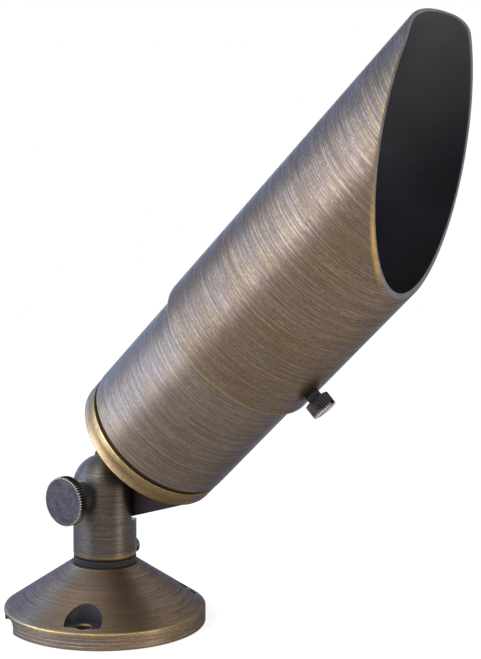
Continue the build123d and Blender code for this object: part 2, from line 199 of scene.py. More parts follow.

# Sides that are worn most, and how closely the wear gathers there; the rear ring's is its lit side, so the
# wear gathered there is partly a painted highlight
least_wear = 0.12
base_worn_side = (math.radians(-80), 2)
ring_wear_and_highlight_side = (math.radians(-84), 6)
mouth_worn_side = (math.radians(-56), 14)
mouth_least_wear = 0.02
mouth_wear = 0.75
mouth_wear_width = 1.6 * mm
inner_lip_wear = 0.05

# Brushing: strokes per metre across, patches per metre along, and how far the strokes lean in x and y
ring_brush = (3600.0, 9.0, (0.003, -0.004))
stroke_brush = (4600.0, 90.0, (-0.014, 0.02))
speck_brush = (5200.0, 700.0, (0.0, 0.0))
gilt_brush = (4600.0, 26.0, (0.01, -0.014))
score_brush = (2900.0, 22.0, (-0.007, 0.009))
swirl_brush = (1900.0, 200.0, (0.07, -0.09))
grain_layers = ((ring_brush, 0.32), (stroke_brush, 0.35), (speck_brush, 0.33))

# Noise bands: the noise's low and high end and, where four are given, the values that these are drawn to
noise_band = (0.3, 0.7)
hue_band = (0.36, 0.64)
grain_band = (0.45, 0.67)
gloss_band = (0.38, 0.62)
matte_band = (0.35, 0.65)
speckle_band = (0.38, 0.62)
film_band = (0.4, 0.8)
patch_shade = (0.35, 0.7, 1.03, 0.95)
score_glint = (0.62, 0.74, 0.0, 0.6)
scuff_wear = (0.25, 0.6, 0.5, 1.0)
patch_wear = (0.38, 0.6, 0.5, 1.0)
tip_wear = (0.3, 0.6, 0.4, 1.0)

# Fades along a piece's axis, as painted light and shade: low and high station, and the colour's factor at
# each.
# The base's rim band gets a painted highlight, the shroud's coat painted light deep inside, and the shroud's
# bronze painted shade towards its rear
base_rim_painted_highlight = (rim_height, rim_height + 1.0 * mm, 1.28, 1.0)
coat_painted_light = (140.0 * mm, 190.0 * mm, 3.0, 1.0)
shroud_painted_shade = (90.0 * mm, 150.0 * mm, 0.93, 1.0)

# Brushed patina: how far the grain darkens and lightens it, and how much brighter its scores glint
grain_dark = 0.2
grain_light = 0.68
glint_gain = 1.7

# Depths of the bump, and how far the roughness swings
brush_depth = 0.02 * mm
speckle_depth = 0.02 * mm
scratch_depth = 0.004 * mm
metal_swing = 0.08
matte_swing = 0.06
scratch_swing = (-0.05, 0.07)
film_swing = 0.04

# Floor: its disc, its grey and glow, the painted shadow under the base's edge, the painted shade in what
# metal mirrors of it near the base, and where it fades out
floor_radius = 1.2
floor_drop = 0.2 * mm
floor_grey = 0.4
painted_shadow_band = (5.0 * mm, 2.0 * mm)
painted_shadow_glow = 0.05
floor_glow = 0.75
mirror_painted_shade = 0.4
mirror_reach = 5
floor_fade = (0.25, 0.8)

# Light of the surround on all that isn't the camera or a reflection
ambient_level = 0.45

# Lamps: name, direction from the head, distance, width, height, radiance and colour
lamps = (
    ("key", (-0.71, -0.702, 0.052), 0.9, 1.1, 0.9, 4.8, (0.45, 0.62, 1.0)),
    ("low", (-0.485, -0.875, 0.017), 0.9, 0.4, 0.3, 2.2, (1.0, 0.87, 0.66)),
    ("side", (-0.99, 0.139, 0.035), 1.0, 0.45, 0.2, 4.4, (0.52, 0.72, 1.0)),
    ("rim", (-0.813, 0.569, 0.122), 1.0, 0.66, 0.3, 1.4, (0.5, 0.74, 1.0)),
    ("sky", (-0.882, 0.031, 0.469), 1.0, 0.9, 0.25, 2.8, (0.16, 0.44, 1.0)),
    ("strip", (0.997, 0.07, 0.017), 0.9, 0.3, 0.36, 9.5, (1.0, 0.92, 0.8)),
    ("crown", (-0.026, -0.743, 0.669), 0.9, 0.5, 0.4, 6.4, (0.84, 0.9, 1.0)),
    ("fill", (0.65, -0.45, 0.6), 1.0, 0.6, 0.6, 1.8, (1.0, 1.0, 1.0)),
)

joints = {joint["name"]: joint for joint in frame["joints"]}


def place_at(origin, z_axis, x_axis):
    """The matrix of a frame from its origin, its Z axis and a direction near its X axis."""
    z_way = Vector(z_axis).normalized()
    y_way = z_way.cross(Vector(x_axis)).normalized()
    x_way = y_way.cross(z_way)
    rotation = Matrix((x_way, y_way, z_way)).transposed()
    return Matrix.Translation(origin) @ rotation.to_4x4()


def measure(node, place):
    """(lowest height, highest height, least radius, largest radius) of a CAD node in a frame."""
    inverse = place.inverted()
    points = [inverse @ vertex.co for vertex in frame["nodes"][node].data.vertices]
    heights = [point.z for point in points]
    radii = [math.hypot(point.x, point.y) for point in points]
    return min(heights), max(heights), min(radii), max(radii)


# Frames that the pieces are turned in
base_place = Matrix.Identity(4)
hinge_point = Vector(joints["head_tilt"]["pos_m"])
head_axis = Vector(joints["shroud_slide"]["axis"])
lock_axis = Vector(joints["shroud_lock_turn"]["axis"])
stem_lock_axis = Vector(joints["stem_lock_turn"]["axis"])
underside = Vector((0, 1, 0)).cross(head_axis)
head_place = place_at(hinge_point, head_axis, underside)
shroud_place = place_at(hinge_point, head_axis, lock_axis)
thumb_place = place_at(hinge_point, (0, 1, 0), (1, 0, 0))
lock_foot = Vector(joints["shroud_lock_turn"]["pos_m"])
lock_station = (lock_foot - hinge_point).dot(head_axis)
lock_place = place_at(hinge_point + head_axis * lock_station, lock_axis, head_axis)
stem_lock_foot = Vector(joints["stem_lock_turn"]["pos_m"])
stem_lock_place = place_at((0, 0, stem_lock_foot.z), stem_lock_axis, (0, 0, 1))

# The rear cap's half cone: tangent to the knuckle's ball, out to the rear ring
ball_radius = measure("stem", base_place)[3]
cap_face = measure("rear_gasket", head_place)[0]
ring_radius = measure("rear_cap", head_place)[3]
ring_rear = cap_face - ring_width
cone_end = ring_rear + ring_edge_break
cone_reach = math.hypot(ring_radius, cone_end)
cone_lean = math.acos(ball_radius / cone_reach) - math.atan2(cone_end, ring_radius)
lowest_tilt = math.radians(joints["head_tilt"]["range_deg"][0])
tilt_stop_lean = math.asin(head_axis.z) + lowest_tilt - cone_lean


# Mesh helpers


def arc_points(here, back, ahead, bend, steps):
    """Points of a fillet of radius bend at a corner between two unit directions."""
    half = back.angle(ahead) / 2
    reach = bend / math.tan(half)
    centre = here + (back + ahead).normalized() * (bend / math.sin(half))
    first = here + back * reach - centre
    last = here + ahead * reach - centre
    begin = math.atan2(first.y, first.x)
    sweep = (math.atan2(last.y, last.x) - begin + math.pi) % (2 * math.pi) - math.pi
    turns = [begin + sweep * step / steps for step in range(steps + 1)]
    return [centre + bend * Vector((math.cos(turn), math.sin(turn))) for turn in turns], reach


def outline(corners):
    """Closed (radius, height, wear) points from corners of (radius, height, round, wear, fade)."""
    points = []
    for index, (radius, height, bend, wear, fade) in enumerate(corners):
        here = Vector((radius, height))
        if bend == 0:
            points.append((radius, height, 0.0))
            continue
        back = (Vector(corners[index - 1][:2]) - here).normalized()
        ahead = (Vector(corners[(index + 1) % len(corners)][:2]) - here).normalized()
        steps = max(least_arc_steps, round(bend / arc_step))
        arc, reach = arc_points(here, back, ahead, bend, steps)
        if wear:
            guard = here + back * (reach + fade)
            points.append((guard.x, guard.y, 0.0))
        points.extend((point.x, point.y, wear) for point in arc)
        if wear:
            guard = here + ahead * (reach + fade)
            points.append((guard.x, guard.y, 0.0))
    return points


def plain(radius, height):
    """A sharp corner of an outline."""
    return (radius, height, 0, *no_wear)


def rounded(radius, height, bend, wear=no_wear):
    """A rounded corner of an outline, with how bare it is and how far the wear fades."""
    return (radius, height, bend, *wear)


def link_mesh(name, bm, place):
    """A new object in the scene from a finished bmesh."""
    mesh = bpy.data.meshes.new(name)
    bm.to_mesh(mesh)
    bm.free()
    piece = bpy.data.objects.new(name, mesh)
    bpy.context.scene.collection.objects.link(piece)
    piece.matrix_world = place
    return piece


def skin(name, columns, place, close_rows=True):
    """A closed mesh from columns of (x, y, z, wear) points in a frame's own coordinates."""
    bm = bmesh.new()
    wear_layer = bm.verts.layers.float.new("wear")
    rings = []
    for column in columns:
        ring = []
        for x, y, z, wear in column:
            vertex = bm.verts.new((x, y, z))
            vertex[wear_layer] = wear
            ring.append(vertex)
        rings.append(ring)
    column_count = len(rings)
    row_count = len(rings[0])
    for column in range(column_count):
        here = rings[column]
        beside = rings[(column + 1) % column_count]
        for row in range(row_count if close_rows else row_count - 1):
            above = (row + 1) % row_count
            bm.faces.new((here[row], beside[row], beside[above], here[above]))
    bmesh.ops.remove_doubles(bm, verts=bm.verts, dist=merge_distance)
    bmesh.ops.dissolve_degenerate(bm, edges=bm.edges, dist=flat_distance)
    bmesh.ops.holes_fill(bm, edges=bm.edges)
    bmesh.ops.recalc_face_normals(bm, faces=bm.faces)
    return link_mesh(name, bm, place)


def facing(angle, wear_and_highlight_side):
    """How far a place round the axis faces a worn side, from 0 to 1; on the rear ring, a painted highlight.
    """
    side, focus = wear_and_highlight_side
    return max(0.0, math.cos(angle - side)) ** focus


def lathe(name, points, place, segments=turned_segments, wear_and_highlight_side=None):
    """A turned piece from a closed outline of (radius, height, wear) points, worn most on one side (on the
    rear ring, partly a painted highlight).
    """
    columns = []
    for segment in range(segments):
        angle = 2 * math.pi * segment / segments
        x, y = math.cos(angle), math.sin(angle)
        share = least_wear + (1 - least_wear) * (facing(angle, wear_and_highlight_side) if wear_and_highlight_side else 1.0)
        columns.append([(radius * x, radius * y, height, wear * share) for radius, height, wear in points])
    return skin(name, columns, place)


def rod(name, radius, low, high, place, segments=cutter_segments):
    """A plain round bar, used as a cutter."""
    points = [(0, low, 0), (radius, low, 0), (radius, high, 0), (0, high, 0)]
    return lathe(name, points, place, segments)


def prism(name, points, low, high, place):
    """A bar along Z with a section of (x, y) points, used as a cutter."""
    bm = bmesh.new()
    ends = [[bm.verts.new((x, y, z)) for x, y in points] for z in (low, high)]
    for index in range(len(points)):
        beside = (index + 1) % len(points)
        bm.faces.new((ends[0][index], ends[0][beside], ends[1][beside], ends[1][index]))
    for end in ends:
        bm.faces.new(end)
    bmesh.ops.recalc_face_normals(bm, faces=bm.faces)
    return link_mesh(name, bm, place)


def block(name, low, high, place):
    """A box between two corners, used as a cutter."""
    points = [(low[0], low[1]), (high[0], low[1]), (high[0], high[1]), (low[0], high[1])]
    return prism(name, points, low[2], high[2], place)


def apply_modifiers(piece):
    """Replaces a piece's mesh by its evaluated one."""
    bpy.context.view_layer.update()
    graph = bpy.context.evaluated_depsgraph_get()
    mesh = bpy.data.meshes.new_from_object(
        piece.evaluated_get(graph), preserve_all_data_layers=True, depsgraph=graph
    )
    piece.modifiers.clear()
    piece.data = mesh


def carve(piece, cutter):
    """Cuts one closed piece by another, which is then removed."""
    modifier = piece.modifiers.new("carve", "BOOLEAN")
    modifier.object = cutter
    modifier.operation = "DIFFERENCE"
    modifier.solver = "EXACT"
    apply_modifiers(piece)
    bpy.data.objects.remove(cutter)


def soften(piece, width):
    """Rounds a piece's sharp edges."""
    modifier = piece.modifiers.new("soften", "BEVEL")
    modifier.width = width
    modifier.segments = soften_steps
    modifier.limit_method = "ANGLE"
    modifier.angle_limit = soften_angle
    modifier.use_clamp_overlap = True
    apply_modifiers(piece)


def clean(mesh):
    """Merges points that fell together and drops faces without an area."""
    bm = bmesh.new()
    bm.from_mesh(mesh)
    bmesh.ops.remove_doubles(bm, verts=bm.verts, dist=merge_distance)
    bmesh.ops.dissolve_degenerate(bm, edges=bm.edges, dist=flat_distance)
    bmesh.ops.triangulate(bm, faces=[face for face in bm.faces if len(face.verts) > 4])
    bmesh.ops.dissolve_degenerate(bm, edges=bm.edges, dist=flat_distance)
    bm.to_mesh(mesh)
    bm.free()


def dress(piece, materials, choose=None):
    """Gives a piece its materials, smooth shading and, by a chooser, each face's material."""
    mesh = piece.data
    clean(mesh)
    mesh.materials.clear()
    for material in materials:
        mesh.materials.append(material)
    for face in mesh.polygons:
        face.use_smooth = True
        face.material_index = choose(face.center) if choose else 0
    mesh.set_sharp_from_angle(angle=smooth_angle)


def settle(piece, body, slot, *nodes):
    """Lets a piece ride on its body and stand for its CAD nodes."""
    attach(piece, body)
    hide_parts(*nodes)


# Materials


def tone(red, green, blue):
    """A colour as a display shows it, in 0 to 255, as linear light by the sRGB curve."""
    linear = []
    for value in (red, green, blue):
        share = value / 255
        linear.append(share / 12.92 if share <= 0.04045 else ((share + 0.055) / 1.055) ** 2.4)
    return (*linear, 1.0)


class Tree:
    """Short calls for building the nodes of a material or of the world."""

    def __init__(self, owner, output="OutputMaterial"):
        self.owner = owner
        owner.use_nodes = True
        self.nodes = owner.node_tree.nodes
        self.links = owner.node_tree.links
        self.nodes.clear()
        self.output = self.add(output)

    def add(self, kind, **settings):
        node = self.nodes.new("ShaderNode" + kind)
        for name, value in settings.items():
            setattr(node, name, value)
        return node

    def node(self, kind, inputs, output=0, **settings):
        """Adds a node, links its inputs or sets them to constants, and gives one of its outputs."""
        node = self.add(kind, **settings)
        for name, value in inputs.items():
            if isinstance(value, bpy.types.NodeSocket):
                self.links.new(value, node.inputs[name])
            else:
                node.inputs[name].default_value = value
        return node.outputs[output]

    def show(self, shader):
        """Links a shader to the output."""
        self.links.new(shader, self.output.inputs["Surface"])

    def math(self, operation, first, second=0.0):
        return self.node("Math", {0: first, 1: second}, operation=operation)

    def noise(self, vector, scale=1.0, detail=2.0, roughness=0.5):
        inputs = {"Vector": vector, "Scale": scale, "Detail": detail, "Roughness": roughness}
        return self.node("TexNoise", inputs)

    def ramp(self, value, low, high, bottom=0.0, top=1.0):
        inputs = dict(enumerate((value, low, high, bottom, top)))
        return self.node("MapRange", inputs, interpolation_type="SMOOTHSTEP")

    def mix(self, share, first, second):
        return self.node("Mix", {"Factor": share, "A": first, "B": second}, "Result", data_type="RGBA")

    def scale(self, colour, factor):
        return self.node("VectorMath", {0: colour, "Scale": factor}, operation="SCALE")

    def bump(self, height, distance):
        return self.node("Bump", {"Height": height, "Distance": distance, "Strength": 1.0})

    def coordinates(self):
        return self.add("TexCoord").outputs["Object"]

    def axes(self):
        """The object's own x, y and z."""
        split = self.add("SeparateXYZ")
        self.links.new(self.coordinates(), split.inputs[0])
        return split.outputs

    def wear(self):
        return self.add("Attribute", attribute_name="wear").outputs["Fac"]

    def surface(self, **settings):
        """A Principled surface with sockets set by name, spaces written as underscores."""
        inputs = {name.replace("_", " "): value for name, value in settings.items()}
        self.show(self.node("BsdfPrincipled", inputs))


def ring_coordinates(tree):
    """(x, y, run): the place across the turned axis and a length along the turned surface."""
    x, y, z = tree.axes()
    squares = tree.math("ADD", tree.math("MULTIPLY", x, x), tree.math("MULTIPLY", y, y))
    return x, y, tree.math("SUBTRACT", z, tree.math("SQRT", squares))


def brush_layer(tree, ring, brush):
    """Noise drawn out into long strokes round the turned axis."""
    x, y, run = ring
    across, along, lean = brush
    slant = tree.math("ADD", tree.math("MULTIPLY", x, lean[0]), tree.math("MULTIPLY", y, lean[1]))
    stretched = {
        "X": tree.math("MULTIPLY", x, along),
        "Y": tree.math("MULTIPLY", y, along),
        "Z": tree.math("MULTIPLY", tree.math("ADD", run, slant), across),
    }
    return tree.noise(tree.node("CombineXYZ", stretched), detail=1.0, roughness=0.55)


def weighted(tree, *shares):
    """The sum of (value, weight) pairs."""
    total = tree.math("MULTIPLY", *shares[0])
    for value, weight in shares[1:]:
        total = tree.math("ADD", total, tree.math("MULTIPLY", value, weight))
    return total


def painted_light_along(tree, colour, low, high, low_factor, high_factor):
    """Painted light or shade: a colour scaled from one station to another of the object's axis."""
    return tree.scale(colour, tree.ramp(tree.axes()["Z"], low, high, low_factor, high_factor))


def brushed_metal(name, cool, warm, worn, edge_tint, roughness, anisotropy, contrast, fade=None):
    """Patinated metal brushed round its turned axis in cool and warm strokes, bare on its worn edges."""
    tree = Tree(bpy.data.materials.new(name))
    ring = ring_coordinates(tree)
    grain = weighted(tree, *((brush_layer(tree, ring, brush), weight) for brush, weight in grain_layers))
    gilt = brush_layer(tree, ring, gilt_brush)
    scores = brush_layer(tree, ring, score_brush)
    patches = tree.noise(tree.coordinates(), scale=45.0, detail=3.0)
    hue = weighted(tree, (gilt, 0.8), (patches, 0.2))
    colour = tree.mix(tree.ramp(hue, *hue_band), cool, warm)
    grain_range = (1 - grain_dark * contrast, 1 + grain_light * contrast)
    colour = tree.scale(colour, tree.ramp(grain, *grain_band, *grain_range))
    colour = tree.scale(colour, tree.ramp(patches, *patch_shade))
    # Painted light or shade along the axis, where a fade is given.
    if fade:
        colour = painted_light_along(tree, colour, *fade)
    glint = tuple(min(1.0, glint_gain * channel) for channel in warm[:3]) + (1.0,)
    colour = tree.mix(tree.ramp(scores, *score_glint), colour, glint)
    scuff = tree.noise(tree.coordinates(), scale=700.0, detail=3.0)
    bare = tree.math("MULTIPLY", tree.wear(), tree.ramp(scuff, *scuff_wear))
    bare = tree.math("MULTIPLY", bare, tree.ramp(patches, *patch_wear))
    colour = tree.mix(bare, colour, worn)
    tangent = tree.add("Tangent", direction_type="RADIAL", axis="Z").outputs[0]
    tree.surface(
        Base_Color=colour,
        Metallic=1.0,
        Roughness=tree.ramp(grain, *gloss_band, roughness + metal_swing, roughness - metal_swing),
        Specular_Tint=edge_tint,
        Anisotropic=anisotropy,
        Anisotropic_Rotation=0.25,
        Tangent=tangent,
        Normal=tree.bump(grain, brush_depth),
    )
    return tree.owner


def matte(name, dark, light, roughness, grain, depth, fade=None):
    """A matte coat or moulding with a fine grain, a faint cloudy shade and, where given, painted light along
    its axis.
    """
    tree = Tree(bpy.data.materials.new(name))
    place = tree.coordinates()
    fine = tree.noise(place, scale=grain, detail=3.0)
    cloudy = tree.noise(place, scale=60.0, detail=2.0)
    shade = weighted(tree, (fine, 0.5), (cloudy, 0.5))
    colour = tree.mix(tree.ramp(shade, *matte_band), dark, light)
    # Painted light along the axis, where a fade is given.
    if fade:
        colour = painted_light_along(tree, colour, *fade)
    tree.surface(
        Base_Color=colour,
        Roughness=tree.ramp(fine, *noise_band, roughness - matte_swing, roughness + matte_swing),
        Specular_IOR_Level=0.3,
        Normal=tree.bump(fine, depth),
    )
    return tree.owner


def speckled_metal(name, dark, light, worn, roughness):
    """Mottled metal with a faint turned swirl, bare where it is worn."""
    tree = Tree(bpy.data.materials.new(name))
    place = tree.coordinates()
    mottle = tree.noise(place, scale=1300.0, detail=3.0, roughness=0.6)
    cloudy = tree.noise(place, scale=260.0, detail=3.0)
    swirl = brush_layer(tree, ring_coordinates(tree), swirl_brush)
    shade = weighted(tree, (mottle, 0.35), (cloudy, 0.25), (swirl, 0.4))
    colour = tree.mix(tree.ramp(shade, *speckle_band), dark, light)
    bare = tree.math("MULTIPLY", tree.wear(), tree.ramp(mottle, *tip_wear))
    colour = tree.mix(bare, colour, worn)
    tree.surface(
        Base_Color=colour,
        Metallic=1.0,
        Roughness=tree.ramp(mottle, *noise_band, roughness - metal_swing, roughness + metal_swing),
        Normal=tree.bump(shade, speckle_depth),
    )
    return tree.owner


def plain_metal(name, dark, light, roughness):
    """Bright turned or pressed metal with fine scratches."""
    tree = Tree(bpy.data.materials.new(name))
    place = tree.coordinates()
    scratch = tree.noise(place, scale=1500.0, detail=2.0)
    cloudy = tree.noise(place, scale=120.0, detail=2.0)
    smooth, rough = (roughness + swing for swing in scratch_swing)
    tree.surface(
        Base_Color=tree.mix(tree.ramp(cloudy, *noise_band), dark, light),
        Metallic=1.0,
        Roughness=tree.ramp(scratch, *noise_band, smooth, rough),
        Normal=tree.bump(scratch, scratch_depth),
    )
    return tree.owner


def clear_glass(name, tint, roughness):
    """Clear glass with a faint film."""
    tree = Tree(bpy.data.materials.new(name))
    film = tree.noise(tree.coordinates(), scale=90.0, detail=3.0)
    tree.surface(
        Base_Color=tint,
        Roughness=tree.ramp(film, *film_band, roughness, roughness + film_swing),
        IOR=1.5,
        Transmission_Weight=1.0,
    )
    return tree.owner


worn_gilt = tone(208, 166, 82)
cool_edge = tone(174, 183, 200)
# Its fade darkens the shroud towards its rear as painted shade.
bronze = brushed_metal(
    "bronze", cool=tone(101, 89, 80), warm=tone(113, 93, 69), worn=worn_gilt, edge_tint=cool_edge,
    roughness=0.4, anisotropy=0.45, contrast=1.05, fade=shroud_painted_shade,
)
body_bronze = brushed_metal(
    "body_bronze", cool=tone(105, 95, 88), warm=tone(114, 97, 78), worn=worn_gilt, edge_tint=cool_edge,
    roughness=0.37, anisotropy=0.5, contrast=1.05,
)
# Its fade lights up the rim band as a painted highlight.
base_bronze = brushed_metal(
    "base_bronze", cool=tone(101, 91, 85), warm=tone(114, 96, 73), worn=tone(226, 190, 108),
    edge_tint=tone(160, 168, 188), roughness=0.44, anisotropy=0.55, contrast=1.1, fade=base_rim_painted_highlight,
)
stem_bronze = brushed_metal(
    "stem_bronze", cool=tone(79, 73, 71), warm=tone(86, 76, 64), worn=tone(196, 158, 92),
    edge_tint=tone(196, 200, 212), roughness=0.42, anisotropy=0.65, contrast=1.0,
)
satin_gold = brushed_metal(
    "satin_gold", cool=tone(108, 89, 66), warm=tone(119, 94, 57), worn=tone(240, 206, 150),
    edge_tint=tone(176, 190, 214), roughness=0.42, anisotropy=0.4, contrast=1.1,
)
# Darker than the ring's bronze, partly painted shade on the cone under the head.
dark_bronze = brushed_metal(
    "dark_bronze", cool=tone(61, 56, 56), warm=tone(66, 58, 54), worn=tone(170, 134, 80),
    edge_tint=tone(150, 158, 174), roughness=0.46, anisotropy=0.2, contrast=0.7,
)
cut_edge = speckled_metal(
    "cut_edge", tone(74, 76, 87), tone(104, 106, 119), worn=tone(206, 168, 100), roughness=0.42
)
gunmetal = speckled_metal(
    "gunmetal", tone(54, 50, 53), tone(78, 72, 75), worn=tone(196, 184, 160), roughness=0.46
)
dark_steel = speckled_metal(
    "dark_steel", tone(36, 35, 39), tone(64, 62, 68), worn=tone(190, 160, 104), roughness=0.42
)
screw_face = speckled_metal(
    "screw_face", tone(138, 138, 140), tone(176, 176, 174), worn=tone(196, 184, 160), roughness=0.4
)
# Darker than the seal's own colour, partly painted shade in the gap under the stem's foot.
seal_brown_and_gap_shade = matte(
    "seal_brown_and_gap_shade", tone(22, 18, 17), tone(36, 30, 28), roughness=0.75, grain=2200.0, depth=0.02 * mm
)
pocket_black = matte(
    "pocket_black", tone(31, 28, 29), tone(44, 40, 42), roughness=0.5, grain=1500.0, depth=0.012 * mm
)
black_coat = matte(
    "black_coat", tone(45, 45, 48), tone(54, 53, 57), roughness=0.55, grain=1600.0, depth=0.01 * mm
)
# Its fade lightens the coat deep inside the shroud as painted light.
shroud_coat = matte(
    "shroud_coat", tone(34, 34, 38), tone(41, 40, 45), roughness=0.55, grain=1600.0, depth=0.01 * mm,
    fade=coat_painted_light,
)
rubber = matte(
    "rubber", tone(36, 35, 35), tone(54, 51, 51), roughness=0.6, grain=2200.0, depth=0.015 * mm
)
steel = plain_metal("steel", tone(168, 167, 164), tone(206, 205, 200), roughness=0.3)
reflector_metal = plain_metal("reflector_metal", tone(190, 191, 194), tone(222, 223, 226), roughness=0.16)
ceramic = matte(
    "ceramic", tone(214, 206, 190), tone(232, 226, 214), roughness=0.5, grain=1200.0, depth=0.012 * mm
)
board_white = matte(
    "board_white", tone(206, 210, 206), tone(226, 230, 226), roughness=0.42, grain=1800.0, depth=0.006 * mm
)
phosphor = matte(
    "phosphor", tone(222, 176, 60), tone(244, 206, 96), roughness=0.25, grain=900.0, depth=0.004 * mm
)
lens_glass = clear_glass("lens_glass", tone(238, 246, 244), roughness=0.01)
cover_glass = clear_glass("cover_glass", tone(246, 248, 250), roughness=0.08)


# Pieces


def polar(angle, reach):
    """A frame standing on the floor plane at an angle and reach from the stem's axis."""
    return Matrix.Rotation(angle, 4, "Z") @ Matrix.Translation((reach, 0, 0))


def mounting_base():
    """The conical base: turned outside, hollow inside, with pockets, holes, hub bore and wire notch."""
    low, high, bore, reach = measure("mounting_base", base_place)
    slope = (high - rim_height) / (reach - base_top_radius)
    skirt = reach - base_wall
    skirt_height = rim_height + slope * base_wall - base_wall * math.hypot(1, slope)
    roof = high - base_hub_depth
    roof_radius = skirt - (roof - skirt_height) / slope
    corners = [plain(0, low), rounded(reach, low, base_edge_round)]
    half_groove = rim_groove_width / 2
    for height in rim_groove_heights:
        corners.append(plain(reach, height - half_groove))
        corners.append(plain(reach - rim_groove_depth, height))
        corners.append(plain(reach, height + half_groove))
    corners += [
        rounded(reach, rim_height, base_edge_round, rim_wear),
        rounded(base_top_radius, high, base_edge_round, base_top_wear),
        plain(0, high),
    ]
    piece = lathe("base_shell", outline(corners), base_place, wear_and_highlight_side=base_worn_side)
    inside = [
        (0, low - overcut, 0),
        (skirt, low - overcut, 0),
        (skirt, skirt_height, 0),
        (roof_radius, roof, 0),
        (0, roof, 0),
    ]
    hollow = lathe("hollow", inside, base_place, fine_segments)
    pocket_places = [polar(angle, screw_circle_radius) for angle in pocket_angles]
    for place in pocket_places:
        carve(hollow, rod("boss", pocket_radius + pocket_wall, low - 2 * overcut, high, place))
    carve(piece, hollow)
    for place in pocket_places:
        carve(piece, rod("pocket", pocket_radius, pocket_floor, high + overcut, place))
        flare = mount_hole_radius + hole_edge_break + overcut
        hole = [
            (0, low - overcut, 0),
            (mount_hole_radius, low - overcut, 0),
            (mount_hole_radius, pocket_floor - hole_edge_break, 1),
            (flare, pocket_floor + overcut, 1),
            (0, pocket_floor + overcut, 0),
        ]
        carve(piece, lathe("hole", hole, place, hole_segments))
    carve(piece, rod("hub", bore, low - overcut, high + overcut, base_place, fine_segments))
    outward = (math.cos(wire_notch_angle), math.sin(wire_notch_angle), 0)
    side = place_at((0, 0, 0), outward, (0, 0, 1))
    half_notch = wire_notch_width / 2
    section = outline([
        plain(low - overcut, -half_notch),
        rounded(wire_notch_height, -half_notch, wire_notch_corner),
        rounded(wire_notch_height, half_notch, wire_notch_corner),
        plain(low - overcut, half_notch),
    ])
    section = [(upward, across) for upward, across, _ in section]
    carve(piece, prism("notch", section, reach - wire_notch_depth, reach + overcut, side))
    soften(piece, cut_soften)

    def finish_of(centre):
        """Dark inside the pockets and the hollow, bronze outside, bare on the holes' edges."""
        radius = math.hypot(centre.x, centre.y)
        near_hole = min((centre.xy - place.translation.xy).length for place in pocket_places)
        if near_hole < mount_hole_radius + hole_edge_break and centre.z > pocket_floor - hole_edge_break:
            return 2
        skin_height = min(high, rim_height + slope * (reach - radius))
        deep = centre.z < skin_height - base_skin and radius < reach - rim_skin
        return 1 if deep else 0

    dress(piece, [base_bronze, pocket_black, satin_gold], finish_of)
    settle(piece, "base", "bronze", "mounting_base")


def stem():
    """The stem: turned post with a domed top, cut to half beside the tilt axis."""
    low, high, _, reach = measure("stem", base_place)
    foot = joints["stem_swivel"]["pos_m"][2]
    spigot = measure("neck_gasket", base_place)[2] - turning_clearance
    # The foot's bare rounded edge is partly a painted highlight line.
    corners = [
        plain(stem_bore_radius, low),
        rounded(spigot, low, spigot_edge_round),
        plain(spigot, foot),
        rounded(reach, foot, stem_foot_round, stem_foot_wear_and_highlight),
        rounded(reach, high, reach - dome_margin),
        plain(0, high),
        plain(0, stem_bore_top),
        plain(stem_bore_radius, stem_bore_top),
    ]
    piece = lathe("stem_post", outline(corners), base_place)
    over = 3 * reach
    seat = reach + lap_below_ball
    stop_start = seat * math.tan(tilt_stop_lean / 2)
    stop_rise = (over - stop_start) * math.tan(tilt_stop_lean)
    section = [(-over, seat), (stop_start, seat), (over, seat - stop_rise), (over, -over), (-over, -over)]
    carve(piece, prism("lap", section, lap_offset, over, thumb_place))
    wire_way = Matrix.Translation((0, wire_bore_offset, 0))
    wire_start = stem_bore_top - wire_bore_overlap
    carve(piece, rod("wire_way", wire_bore_radius, wire_start, hinge_point.z, wire_way, bore_segments))
    _, seat_high, _, seat_radius = measure("thumb_washer", thumb_place)
    carve(piece, rod("seat", seat_radius + washer_clearance, -over, seat_high, thumb_place))
    soften(piece, cut_soften)
    dress(piece, [stem_bronze])
    settle(piece, "stem", "bronze", "stem")


def knurled_screw(name, rim, shank, teeth, depth, place):
    """A turned screw whose rim has straight teeth, bare at their tips."""
    toothed_rows = range(first_toothed_row, len(rim) - 1)
    columns = []
    for index in range(teeth * tooth_steps):
        angle = 2 * math.pi * index / (teeth * tooth_steps)
        phase = (index % tooth_steps) / tooth_steps
        crest = 1 - abs(2 * phase - 1)
        crest = crest * crest * (3 - 2 * crest)
        column = []
        for row, (radius, height, wear) in enumerate(rim + shank):
            toothed = row in toothed_rows
            reach = radius - depth * (1 - crest) if toothed else radius
            bare = wear * crest if toothed else 0.0
            column.append((reach * math.cos(angle), reach * math.sin(angle), height, bare))
        columns.append(column)
    return skin(name, columns, place)


def knurl_profile(radius, front, back, bend):
    """A knurled head from its outer face to its inner face, as (radius, height, wear) points."""
    way = 1 if back > front else -1
    turns = [math.pi / 2 * step / edge_steps for step in range(edge_steps + 1)]
    points = [(0, front, 0)]
    points += [(radius - inset * bend, front, 0) for inset in (knurl_face_inset, knurl_tooth_inset)]
    for turn in turns:
        inset = bend - bend * math.sin(turn)
        points.append((radius - inset, front + way * bend * (1 - math.cos(turn)), tooth_front_wear))
    points.append((radius, front + way * 2 * bend, tooth_side_wear))
    for turn in turns:
        inset = bend - bend * math.cos(turn)
        points.append((radius - inset, back - way * bend * (1 - math.sin(turn)), tooth_back_wear))
    points.append((radius - knurl_tooth_inset * bend, back, 0))
    return points


def cut_slot(piece, reach, top, width, depth, place):
    """Cuts a slot across a screw's outer face."""
    low = (-reach, -width / 2, top - depth)
    carve(piece, block("slot", low, (reach, width / 2, top + reach), place))


